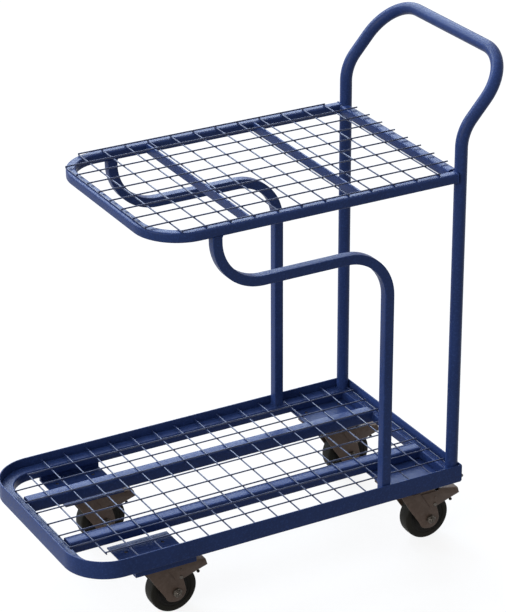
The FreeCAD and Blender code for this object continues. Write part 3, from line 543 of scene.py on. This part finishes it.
def make_panel(name, node_name, support, cross_x, cross_reach, long_y, long_rear, long_front):
    """Cross wires on a support and lengthwise wires on top of them, welded where they cross.

    The upper layer is pressed a tenth of a wire into the lower one.
    """
    cross_height, long_height = support + WIRE_DIAMETER / 2, support + WIRE_DIAMETER * 1.4
    cross = [np.stack([cross_x, sign * cross_reach, np.full_like(cross_x, cross_height)], axis=1)
             for sign in (-1, 1)]
    lengthwise = [np.stack([x, long_y, np.full_like(long_y, long_height)], axis=1)
                  for x in (long_rear, long_front)]
    wires = wire_shells(np.vstack([cross[0], lengthwise[0]]), np.vstack([cross[1], lengthwise[1]]))
    nuggets = crossing_shells(cross_x, cross_reach, long_y, long_rear, long_front,
                              (cross_height + long_height) / 2)
    make_piece(name, wires + nuggets, "wire", "frame", [node_name])


base_x = np.linspace(base_front - BASE_MESH_FRONT, base_rear + BASE_MESH_REAR, BASE_CROSS_WIRES)
base_long_side = base_side - BASE_MESH_SIDE
base_y = np.linspace(-base_long_side, base_long_side, BASE_LONG_WIRES)
base_reach = np.full(BASE_CROSS_WIRES, base_side - RIM_WALL - BASE_WIRE_GAP)
# The first two cross wires are shorter for the rounded corners, the last one for the uprights
base_reach[0] = base_y[-2] + WIRE_TAIL
base_reach[1] = base_long_side + WIRE_TAIL
base_reach[-1] = ledge_y - HANDLE_DIAMETER / 2 - WIRE_TAIL
beside_stay = np.abs(base_x - stay_rear) < (TUBE_SIDE + WIRE_DIAMETER) / 2 + FIT_GAP
base_reach[beside_stay] = shelf_side - TUBE_SIDE - FIT_GAP
base_long_front = np.full(BASE_LONG_WIRES, base_x[0] + WIRE_TAIL)
base_long_front[[0, -1]] = base_x[1] + WIRE_TAIL
base_long_rear = np.full(BASE_LONG_WIRES, base_x[-1] - WIRE_TAIL)
make_panel("base_wires", "base_mesh", bar_high[2], base_x, base_reach, base_y, base_long_rear,
           base_long_front)

shelf_x = np.linspace(shelf_front - SHELF_MESH_FRONT, upright_x + SHELF_MESH_REAR, SHELF_CROSS_WIRES)
shelf_long_side = shelf_side - SHELF_MESH_SIDE
shelf_y = np.linspace(-shelf_long_side, shelf_long_side, SHELF_LONG_WIRES)
shelf_reach = np.full(SHELF_CROSS_WIRES, shelf_long_side + WIRE_DIAMETER / 2)
shelf_reach[0] = shelf_y[-2] + WIRE_DIAMETER / 2
shelf_long_front = np.full(SHELF_LONG_WIRES, shelf_x[0] + WIRE_DIAMETER / 2)
shelf_long_front[[0, -1]] = shelf_x[1] + WIRE_DIAMETER / 2
shelf_long_rear = np.full(SHELF_LONG_WIRES, upright_x)
shelf_long_rear[[0, -1]] = shelf_x[-1] - WIRE_TAIL
make_panel("shelf_wires", "shelf_mesh", shelf_top, shelf_x, shelf_reach, shelf_y, shelf_long_rear,
           shelf_long_front)


# Castors
def mirrored(half):
    """A closed profile of (radius, width) from its points on the +Y side, mirrored to the other side."""
    half = np.array(half, float)
    return np.vstack([half * (1, -1), half[::-1]])


def shoulder(radius, half_width, size, steps=7):
    """A quarter circle from the side of a tyre to its tread."""
    angle = np.linspace(0, math.pi / 2, steps)
    return np.stack([radius - size + size * np.sin(angle), half_width - size + size * np.cos(angle)], axis=1)


def folded(rows_y, rows_depth):
    """The path of a folded sheet in its own section: up one side, round a bend, across, and down again.

    rows_y and rows_depth are the first half; the second half mirrors it. Gives y, depth and the directions
    of travel in y and depth.
    """
    y = np.concatenate([rows_y, -rows_y[::-1]])
    depth = np.concatenate([rows_depth, rows_depth[::-1]])
    travel = unit(np.stack([np.gradient(y), np.gradient(depth)], axis=1))
    return y, depth, travel


def half_fold(side_depths, y_side, depth_top, bend, steps=7):
    """Half of a fold: straight along the side, round the bend, and one row on the flat.

    In the bend y = side - bend + bend cos a and depth = top + bend (1 - sin a).
    """
    angle = np.linspace(0, math.pi / 2, steps)[1:]
    bend_y, bend_depth = y_side - bend + bend * np.cos(angle), depth_top + bend - bend * np.sin(angle)
    y = np.concatenate([np.full(len(side_depths), y_side), bend_y, [FOLD_FLAT * y_side]])
    depth = np.concatenate([side_depths, bend_depth, [depth_top]])
    return y, depth


# The fork's side view: heights of its rows, and the heights and distances from the axle along its two edges
FORK_HEIGHTS = np.array([29.2, 29.8, 30.6, 31.8, 33.4, 35.4, 37.6, 40, 43, 47, 51, 56, 61, 66, 72, 81, 90,
                         100, 108])
FORK_REAR_EDGE = ((50, 61, 81, 119.5), (-21, -18.8, -13.4, -10))
FORK_FRONT_EDGE = ((40, 53, 80, 110, 119.5), (22, 30, 48.2, 66.2, 71))
FOOT_REAR_DROP, FOOT_FRONT_DROP = 21, 11


def fork_edge(z, heights, reaches, drop):
    """Straight pieces above the first height, and a quarter of an ellipse below it for the rounded foot.

    In the ellipse the distance is reach * sqrt(1 - ((height - z) / drop)^2).
    """
    foot = reaches[0] * np.sqrt(np.clip(1 - ((heights[0] - z) / drop) ** 2, 0, 1))
    return np.where(z < heights[0], foot, np.interp(z, heights, reaches))


def fork_shell(centre, crown_top):
    """One sheet folded over the wheel; at each height it reaches from the rear edge to the front edge."""
    top = crown_top - FORK_SHEET / 2
    y, drop, travel = folded(*half_fold(top - FORK_HEIGHTS, FORK_OUTER - FORK_SHEET / 2, 0, FORK_BEND))
    z = top - drop
    rear = fork_edge(z, *FORK_REAR_EDGE, FOOT_REAR_DROP)
    front = fork_edge(z, *FORK_FRONT_EDGE, FOOT_FRONT_DROP)
    route = np.stack([centre[0] + (rear + front) / 2, centre[1] + y, z], axis=1)
    ahead = np.stack([np.zeros_like(y), travel[:, 0], -travel[:, 1]], axis=1)
    section = rounded_rectangle(front - rear, FORK_SHEET, FORK_EDGE_RADIUS, SHEET_EDGE_STEPS)
    return capped(carried(section, (route, ahead, np.broadcast_to(X, route.shape))))


# The pedal's side view, along and below its tread: depths of its rows, and depths and reaches of its edges;
# the lip's two ends are (reach, depth)
PEDAL_DEPTHS = np.array([41.5, 40, 38.5, 33, 27.7, 25, 22.7, 17, 11.8, 11.6, 9.5, 7, 4.2])
PEDAL_FRONT_EDGE = ((0, 4.2, 11.6, 42.5), (0, -3.96, -41.7, -12.6))
PEDAL_REAR_EDGE = ((0, 11.8, 22.7, 27.7, 38.5, 42.5), (44.6, 50.6, 30.0, 21.2, 1.4, -12.1))
PEDAL_LIP = ((43.2, 1.2), (49.2, 12.5))


def pedal_shell(centre):
    """One sheet folded over the fork, in coordinates along and below its sloping tread.

    Depth below the tread gives the reach forward and back by straight edges between the corners.
    """
    y_side = PEDAL_OUTER - PEDAL_SHEET / 2
    y, depth, travel = folded(*half_fold(PEDAL_DEPTHS, y_side, PEDAL_SHEET / 2, PEDAL_BEND))
    front, rear = np.interp(depth, *PEDAL_FRONT_EDGE), np.interp(depth, *PEDAL_REAR_EDGE)
    along = np.array([-math.cos(PEDAL_SLOPE), 0, -math.sin(PEDAL_SLOPE)])
    down = np.array([math.sin(PEDAL_SLOPE), 0, -math.cos(PEDAL_SLOPE)])
    start = np.array([centre[0] - PEDAL_START_BACK, centre[1], PEDAL_START_HEIGHT])
    route = start + ((front + rear) / 2)[:, None] * along + depth[:, None] * down + y[:, None] * Y
    ahead = travel[:, :1] * Y + travel[:, 1:] * down
    section = rounded_rectangle(rear - front, PEDAL_SHEET, PEDAL_EDGE_RADIUS, SHEET_EDGE_STEPS)
    shell = capped(carried(section, (route, ahead, np.broadcast_to(along, route.shape))))
    lip_ends = [start + reach * along + below * down for reach, below in PEDAL_LIP]
    lip_width = PEDAL_OUTER * 2 - PEDAL_SHEET * 2 + PEDAL_LIP_EASE
    lip_section = rounded_rectangle(lip_width, PEDAL_SHEET, PEDAL_EDGE_RADIUS)
    return [shell, capped(carried(lip_section, rounded_route(lip_ends, [], Y)))]


def thread(start, end, radius):
    """Rows of (radius, distance) that ripple like a thread, one crest in THREAD_PITCH."""
    count = max(2, int(round((end - start) / THREAD_PITCH * 2)))
    return [(radius - THREAD_DEPTH * (step % 2), start + (end - start) * step / count)
            for step in range(count + 1)]


def nut_shell(centre, axis, height, across, bore):
    """A hexagon whose corners are turned off by a cone at both faces: the smaller of hexagon and cone."""
    flat, corner = across / 2 * 0.96, across * 0.6
    rows = [(bore, 0), (flat, 0), (corner, NUT_CHAMFER), (corner, height - NUT_CHAMFER), (flat, height),
            (bore + 0.5, height), (bore, height - 0.5)]
    return joined(stacked(rows, centre, axis, across))


def domed(radius, base, rise, tip, steps):
    """Rows of a domed head: radius * cos a at base + rise * sin a, ending in a small flat."""
    angle = np.linspace(0, math.pi / 2, steps)
    return np.stack([np.maximum(tip, radius * np.cos(angle)), base + rise * np.sin(angle)], axis=1).tolist()


# Profiles of (radius, half width) about the axle: the tyre from its lip to its tread, the hub from its boss
# over the web to its rim
half_width = WHEEL_WIDTH / 2
tyre_profile = mirrored(np.vstack([[(37, half_width - 0.8), (37.8, half_width - 0.2), (39.5, half_width)],
                                   shoulder(WHEEL_RADIUS - TREAD_RISE, half_width, TYRE_SHOULDER),
                                   [(WHEEL_RADIUS, TREAD_HALF)]]))
hub_profile = mirrored([(8, 23.5), (16.2, 23.5), (17, 22.7), (17.8, 13.6), (18.8, 12), (30.4, 12),
                        (31.4, 12.4), (32, 13.2), (32.6, 13.5), (37, 13.5)])

# Profiles of (radius, height) about the king pin: the fork's round crown and the grooved bearing cup
crown_top = span("front_left_fork")[1][2]
crown_profile = np.array([(CROWN_BORE, -3.4), (CROWN_FLAT, -3.4), (CROWN_RADIUS - 1, -3.2),
                          (CROWN_RADIUS, -2.4), (CROWN_RADIUS, -0.9), (CROWN_RADIUS - 1, 0.1),
                          (CROWN_FLAT, 0.15), (CROWN_BORE, 0.15)]) + (0, crown_top)
cup_low, cup_high = span("swivel_bearings")
cup_depth = cup_high[2] - cup_low[2]
cup_profile = [(CUP_BORE, 0), (25, 0), (28, 0.5), (29, 1.7), (29, 2.7), (27.8, 3.3), (27.8, 3.8), (29, 4.3),
               (29, 5.6), (27.6, cup_depth - 0.4), (25.5, cup_depth), (CUP_BORE, cup_depth)]

# Rows of (radius, distance along the axle): the bolt from its head to its drilled tail, and the lock nut with
# the round collar of its locking ring
head_end = -FORK_OUTER - AXLE_HEAD
tail_end = FORK_OUTER + AXLE_NUT + AXLE_TAIL
head_face, lock_face = AXLE_ACROSS * 0.47, AXLE_ACROSS * 0.48
axle_rows = ([(head_face, head_end), (AXLE_ACROSS, head_end + 1.2), (AXLE_ACROSS, -FORK_OUTER - 0.6),
              (head_face, -FORK_OUTER), (AXLE_RADIUS, -FORK_OUTER), (AXLE_RADIUS, FORK_OUTER + 5)]
             + thread(FORK_OUTER + 5.5, tail_end - 0.8, AXLE_RADIUS)
             + [(AXLE_RADIUS - 0.9, tail_end), (2.6, tail_end), (0.6, tail_end - 2.4)])
lock_rows = np.array([(AXLE_RADIUS + 0.1, 0), (lock_face, 0), (AXLE_ACROSS, 1), (AXLE_ACROSS, 5),
                      (lock_face, 5.9), (7.3, 6), (7.2, 7.2), (6.6, 8), (5.6, 8),
                      (5.2, 7.4)]) + (0, FORK_OUTER)

# Rivets, and the pedal's studs and curled tail: (distance from the axle, height), the studs with a radius
rivet_y = PEDAL_OUTER + FIT_GAP
rivet_rows = ([(RIVET_SHANK, FORK_OUTER - rivet_y - RIVET_DEPTH), (RIVET_SHANK, 0), (RIVET_RADIUS, 0.05)]
              + domed(RIVET_RADIUS, base=0.3, rise=1.5, tip=0.25, steps=6))
PEDAL_STUDS = ((-8, 99, 3.2), (-57.4, 103, 2))
HOOK_PATH = ((-34, 95), (-41, 91.5), (-46, 88), (-48, 82.5))
bulb_angle = np.linspace(-1.5, 1.5, 9)
bulb_rows = BULB_RADIUS * np.stack([np.cos(bulb_angle), np.sin(bulb_angle)], axis=1)

nut_low, nut_high = span("castor_nuts")
bolt_bottom = span("castor_bolts")[0][2]
cups, nuts, bolts = [], [], []
for corner in CORNERS:
    tyre_low, tyre_high = span(corner + "_tyre")
    wheel_centre = (tyre_low + tyre_high) / 2
    swivel = wheel_centre + (CASTOR_TRAIL, 0, -wheel_centre[2])
    wheel_body, fork_body, pedal_body = (corner + "_%s_body" % part for part in ("wheel", "fork", "pedal"))
    make_piece(corner + "_tread", [turned_ring(tyre_profile, wheel_centre, Y)], "rubber", wheel_body,
               [corner + "_tyre"])
    make_piece(corner + "_wheel_hub", [turned_ring(hub_profile, wheel_centre, Y)], "hub", wheel_body,
               [corner + "_hub"])
    make_piece(corner + "_fork_sheet",
               [fork_shell(wheel_centre, crown_top), turned_ring(crown_profile, swivel, Z)],
               "castor", fork_body, [corner + "_fork"])
    make_piece(corner + "_pedal_sheet", pedal_shell(wheel_centre), "castor", pedal_body,
               [corner + "_brake_pedal"])
    rounded_copy(corner + "_brake_block", corner + "_brake_shoe", SHOE_EDGE_RADIUS, "rubber", pedal_body)

    hook_corners = [wheel_centre + (x, PEDAL_OUTER - HOOK_INSET, z - WHEEL_RADIUS) for x, z in HOOK_PATH]
    hook_route = rounded_route(hook_corners, [HOOK_BEND, HOOK_BEND], Y)
    hook = capped(carried(circle(HOOK_RADIUS, WIRE_SIDES), hook_route))
    bulb = capped(stacked(bulb_rows, hook_corners[-1], Y, steps=FASTENER_STEPS))
    make_piece(corner + "_pedal_spring_tail", [hook, bulb], "rubber", pedal_body)

    make_piece(corner + "_axle_screw", [capped(stacked(axle_rows, wheel_centre, Y, AXLE_ACROSS))], "zinc",
               fork_body, [corner + "_axle_bolt"])
    make_piece(corner + "_lock_nut", [joined(stacked(lock_rows, wheel_centre, Y, AXLE_ACROSS))], "zinc",
               fork_body, [corner + "_axle_nut"])

    rivets, studs = [], []
    for sign in (1, -1):
        place = wheel_centre + (-PIVOT_BACK, sign * rivet_y, PIVOT_HEIGHT - WHEEL_RADIUS)
        rivets.append(capped(stacked(rivet_rows, place, sign * Y)))
        for x, z, size in PEDAL_STUDS:
            place = wheel_centre + (x, sign * PEDAL_OUTER, z - WHEEL_RADIUS)
            rows = ([(size * 0.8, -PEDAL_SHEET - 1), (size, -0.02)]
                    + domed(size, base=0.1, rise=0.9, tip=0.2, steps=5))
            studs.append(capped(stacked(rows, place, sign * Y, steps=FASTENER_STEPS)))
    make_piece(corner + "_rivet_heads", rivets, "zinc", fork_body, [corner + "_pedal_rivets"])
    make_piece(corner + "_pedal_studs", studs, "castor", pedal_body)

    cups.append(turned_ring(cup_profile, swivel + (0, 0, cup_low[2]), Z, CUP_STEPS))
    bolt_top = span(corner + "_mount_plate")[1][2] - BOLT_SINK
    bolt_rows = ([(BOLT_RADIUS - BOLT_CHAMFER, bolt_bottom)]
                 + thread(bolt_bottom + 0.7, nut_low[2], BOLT_RADIUS)
                 + [(BOLT_RADIUS, nut_low[2] + 0.3), (BOLT_RADIUS, bolt_top - 0.6),
                    (BOLT_RADIUS - BOLT_CHAMFER, bolt_top)])
    for x in (BOLT_SPREAD_X, -BOLT_SPREAD_X):
        for y in (BOLT_SPREAD_Y, -BOLT_SPREAD_Y):
            place = swivel + (x, y, 0)
            nuts.append(nut_shell(place + (0, 0, nut_low[2]), Z, nut_high[2] - nut_low[2], NUT_ACROSS,
                                  BOLT_RADIUS))
            bolts.append(capped(stacked(bolt_rows, place, Z, steps=FASTENER_STEPS)))
    rounded_copy(corner + "_mounting_plate", corner + "_mount_plate", PLATE_EDGE_RADIUS, "frame", "frame")
make_piece("swivel_cups", cups, "castor", "frame", ["swivel_bearings"])
make_piece("castor_hex_nuts", nuts, "zinc", "frame", ["castor_nuts"])
make_piece("castor_studs", bolts, "zinc", "frame", ["castor_bolts"])
rounded_copy("castor_base_plates", "castor_top_plates", TOP_PLATE_EDGE_RADIUS, "castor", "frame")
rounded_copy("castor_spacers", "castor_risers", SPACER_EDGE_RADIUS, "frame", "frame")

# Small round-headed screws at the ends of the rear upstand
screw_rows = [(2, -1), (SCREW_RADIUS, 0)] + domed(SCREW_RADIUS, base=4.5, rise=2.8, tip=0.3, steps=6)
screws = [capped(stacked(screw_rows, (base_rear, sign * SCREW_SIDE, SCREW_HEIGHT), -X)) for sign in (1, -1)]
make_piece("upstand_screws", screws, "zinc", "frame")

# CAD nodes that no piece stands for: the bushes and king pins inside the castors
for node_name in [corner + "_bush" for corner in CORNERS] + ["king_pins"]:
    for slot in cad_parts[node_name].material_slots:
        slot.material = FINISHES["zinc"]


# Floor, light and camera
def seen_directly(material):
    """1 for rays from the camera, a mirror or glass, so that these see a white background, and else 0."""
    rays = add(material, "LightPath")
    mirror = add(material, "Math", {"operation": "MAXIMUM"}, i0=rays.outputs["Is Glossy Ray"],
                 i1=rays.outputs["Is Transmission Ray"])
    seen = add(material, "Math", {"operation": "MAXIMUM"}, i0=rays.outputs["Is Camera Ray"],
               i1=mirror.outputs[0])
    return seen.outputs[0]


FLOOR_HALF, FLOOR_GLOW, ROOM_LIGHT = 20, 0.87, 0.34
# Matt painted studio floor: white to the eye, with the trolley's soft grey shadow left on it
floor_material, floor_where = start_material("matt_white_studio_floor")
floor_mottle = add(floor_material, "TexNoise", Vector=floor_where, Scale=grain(400), Detail=2.0)
floor_tone = add(floor_material, "Mix", {"data_type": "RGBA"}, i0=floor_mottle.outputs["Fac"],
                 i6=linear("#6c6c6c"), i7=linear("#686868"))
floor_skin = add(floor_material, "BsdfDiffuse", Color=floor_tone.outputs[2])
floor_share = add(floor_material, "Math", {"operation": "MULTIPLY"}, i0=seen_directly(floor_material),
                  i1=FLOOR_GLOW)
floor_glow = add(floor_material, "Emission", Color=linear("#ffffff"), Strength=floor_share.outputs[0])
floor_sum = add(floor_material, "AddShader", i0=floor_skin.outputs[0], i1=floor_glow.outputs[0])
add(floor_material, "OutputMaterial", Surface=floor_sum.outputs[0])
floor_mesh = bpy.data.meshes.new("studio_floor")
floor_mesh.from_pydata([(-FLOOR_HALF, -FLOOR_HALF, 0), (FLOOR_HALF, -FLOOR_HALF, 0),
                        (FLOOR_HALF, FLOOR_HALF, 0), (-FLOOR_HALF, FLOOR_HALF, 0)], [], [(0, 1, 2, 3)])
floor_mesh.materials.append(floor_material)
floor = bpy.data.objects.new("studio_floor", floor_mesh)
bpy.context.collection.objects.link(floor)


def add_sun(name, towards, energy, spread, colour):
    """A soft sun lamp: the direction is from the trolley to the lamp, the spread its width in degrees."""
    sun = bpy.data.lights.new(name, "SUN")
    sun.energy, sun.angle, sun.color = energy, math.radians(spread), linear(colour)[:3]
    lamp = bpy.data.objects.new(name, sun)
    bpy.context.collection.objects.link(lamp)
    lamp.rotation_euler = Vector(towards).to_track_quat("Z", "Y").to_euler()


# A broad lamp at the front, one overhead that reaches down between the bars, and a low cool arch behind whose
# glare runs along the tops, the grip and the cross wires
add_sun("front_lamp", (0.9, 0.2, 0.36), energy=1.6, spread=40, colour="#ffffff")
add_sun("top_lamp", (-0.1, -0.45, 0.9), energy=0.9, spread=50, colour="#e6f0ff")
add_sun("back_lamp_1", (-0.42, -0.8, 0.43), energy=1.1, spread=22, colour="#d6e8ff")
add_sun("back_lamp_2", (0.0, -0.8, 0.57), energy=1.9, spread=22, colour="#d6e8ff")
add_sun("back_lamp_3", (0.42, -0.8, 0.45), energy=1.8, spread=22, colour="#d6e8ff")

scene = bpy.context.scene
world = bpy.data.worlds.new("pale_room")
scene.world = world
world.use_nodes = True
world.node_tree.nodes.clear()
soft = add(world, "Background", Color=linear("#ffffff"), Strength=ROOM_LIGHT)
white = add(world, "Background", Color=linear("#ffffff"), Strength=1.0)
either = add(world, "MixShader", i0=seen_directly(world), i1=soft.outputs[0], i2=white.outputs[0])
add(world, "OutputWorld", Surface=either.outputs[0])

camera_data = bpy.data.cameras.new("photo_camera")
camera = bpy.data.objects.new("photo_camera", camera_data)
bpy.context.collection.objects.link(camera)
camera_data.lens, camera_data.sensor_width = 152.279, 36
CAMERA_PLACE = Vector((2209.647, 4031.532, 2679.072)) * MM
CAMERA_RIGHT = Vector((-0.87455024, 0.48491716, -0.00415143))
CAMERA_UP = Vector((-0.20872934, -0.36868950, 0.90581461))
CAMERA_BACK = Vector((0.43771446, 0.79304691, 0.42365393))
camera_turn = Matrix((CAMERA_RIGHT, CAMERA_UP, CAMERA_BACK)).transposed().to_4x4()
camera.matrix_world = Matrix.Translation(CAMERA_PLACE) @ camera_turn
scene.camera = camera
scene.view_settings.view_transform = "Standard"
